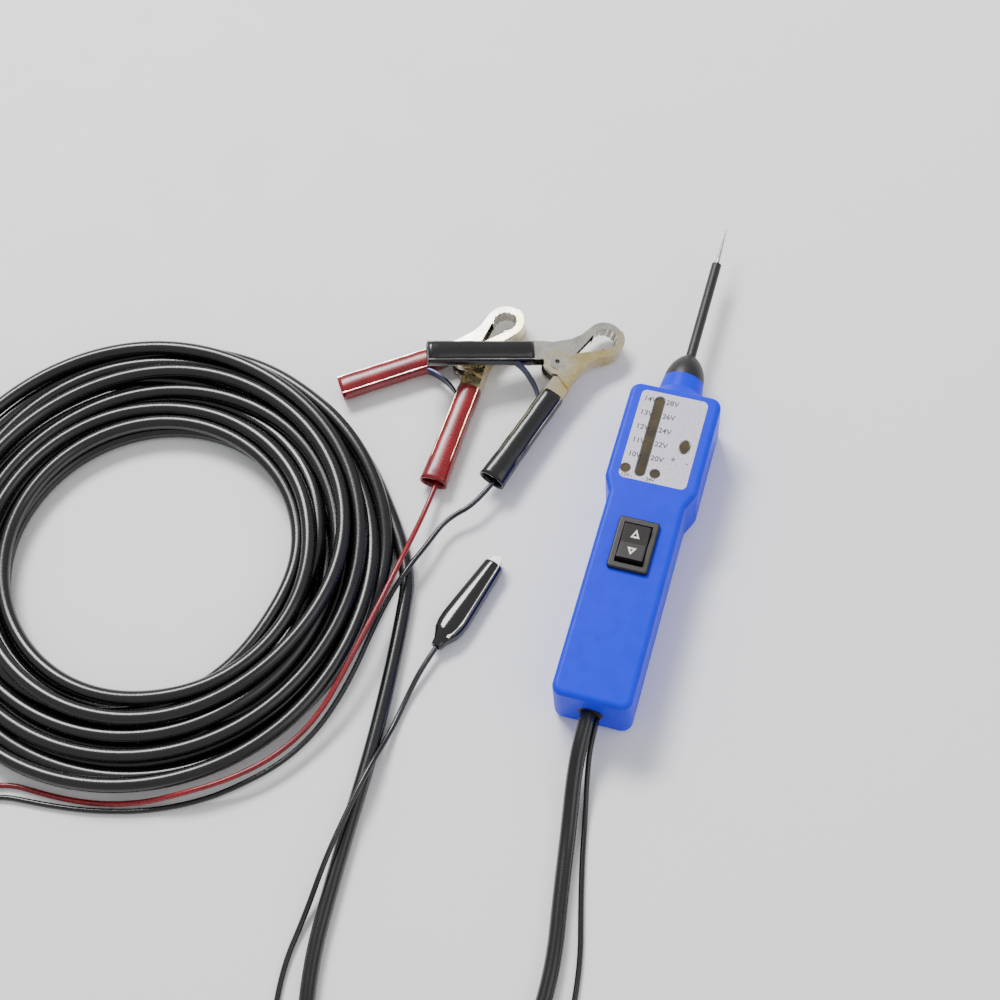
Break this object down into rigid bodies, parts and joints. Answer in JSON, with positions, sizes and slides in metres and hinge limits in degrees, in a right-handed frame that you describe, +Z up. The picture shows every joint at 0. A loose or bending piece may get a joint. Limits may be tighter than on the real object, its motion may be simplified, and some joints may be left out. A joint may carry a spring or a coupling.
{
  "type": "powered circuit tester",
  "caption": "Hand-held powered circuit tester with display face, rocker switch, sleeved probe, coiled supply cable with battery clips, and a ground lead with a crocodile clip.",
  "frame": {"origin": "under the middle of the tester, from its tail to the needle's point, on the surface that everything lies on", "axes": "+Y along the probe towards its point, +Z up out of the display face, +X to the right of the display"},
  "size_m": [0.2923, 0.373, 0.0276],
  "materials": {
    "housing": "satin moulded ABS, blue",
    "label": "printed silver-lilac polyester film",
    "lens": "smoked clear acrylic",
    "green_board": "solder mask",
    "lamp": "tinted epoxy",
    "dark_plastic": "moulded",
    "resistor": "painted",
    "zinc_steel": "zinc plated",
    "switch_plastic": "fine texture",
    "brass": "plain",
    "needle_steel": "polished",
    "black_rubber": "smooth",
    "clamp_plastic": "moulded nylon",
    "black_pvc": "glossy soft PVC",
    "red_pvc": "glossy soft PVC, red",
    "nickel_steel": "bright nickel plate",
    "passivated_steel": "yellow passivated zinc plate",
    "blued_steel": "blued spring steel"
  },
  "bodies": {
    "tester": {"front_cover": "housing", "rear_cover": "housing", "face_label": "label", "display_lens": "lens", "circuit_board": "green_board", "voltage_lamps": "lamp", "range_lamps": "lamp", "polarity_lamp": "lamp", "driver_chip": "dark_plastic", "piezo_buzzer": "dark_plastic", "circuit_breaker": "dark_plastic", "resistors": "resistor", "board_screws": "zinc_steel", "housing_screws": "zinc_steel", "clamp_screws": "zinc_steel", "croc_screw": "zinc_steel", "switch_body": "switch_plastic", "switch_terminals": "brass", "probe_socket": "brass", "probe_locknut": "brass", "probe_contact": "brass", "red_clip_terminal": "brass", "black_clip_terminal": "brass", "probe_needle": "needle_steel", "probe_sleeve": "black_rubber", "probe_boot": "black_rubber", "cable_grommet": "black_rubber", "split_sleeve": "black_rubber", "cable_clamp": "clamp_plastic", "main_cable": "black_pvc", "main_cable_coil": "black_pvc", "black_lead": "black_pvc", "ground_lead": "black_pvc", "supply_wire": "black_pvc", "black_clip_wired_sleeve": "black_pvc", "croc_boot": "black_pvc", "red_lead": "red_pvc", "red_clip_wired_sleeve": "red_pvc", "croc_wired_jaw": "nickel_steel", "red_clip_rivet": "nickel_steel", "black_clip_rivet": "nickel_steel", "croc_rivet": "nickel_steel", "red_clip_wired_jaw": "passivated_steel", "black_clip_wired_jaw": "passivated_steel", "red_clip_spring": "blued_steel", "black_clip_spring": "blued_steel", "croc_spring": "blued_steel"},
    "rocker": {"switch_rocker": "switch_plastic"},
    "red_free_jaw": {"red_clip_free_jaw": "nickel_steel", "red_clip_free_sleeve": "red_pvc"},
    "black_free_jaw": {"black_clip_free_jaw": "nickel_steel", "black_clip_free_sleeve": "black_pvc"},
    "croc_free_jaw": {"croc_free_jaw": "nickel_steel"}
  },
  "joints": [
    {"name": "rocker_tilt", "type": "hinge", "parent": "tester", "child": "rocker", "pos_m": [0, -0.0464, 0.022], "axis": [1, 0, 0], "range_deg": [-9, 9], "stiffness_Nm_per_rad": 0.05},
    {"name": "red_clip_hinge", "type": "hinge", "parent": "tester", "child": "red_free_jaw", "pos_m": [-0.0866, 0.0251, 0.0047], "axis": [0, 0, 1], "range_deg": [0, 35], "stiffness_Nm_per_rad": 0.4, "springref_deg": -20.05, "deforming": ["red_clip_spring"]},
    {"name": "black_clip_hinge", "type": "hinge", "parent": "tester", "child": "black_free_jaw", "pos_m": [-0.0505, 0.0293, 0.0087], "axis": [0.2256, -0.0529, 0.9728], "range_deg": [0, 35], "stiffness_Nm_per_rad": 0.4, "springref_deg": -20.05, "deforming": ["black_clip_spring"]},
    {"name": "croc_clip_hinge", "type": "hinge", "parent": "tester", "child": "croc_free_jaw", "pos_m": [-0.057, -0.0791, 0.0037], "axis": [0, 0, 1], "range_deg": [0, 18], "stiffness_Nm_per_rad": 0.1, "springref_deg": -20.05, "deforming": ["croc_spring", "croc_boot"]}
  ]
}
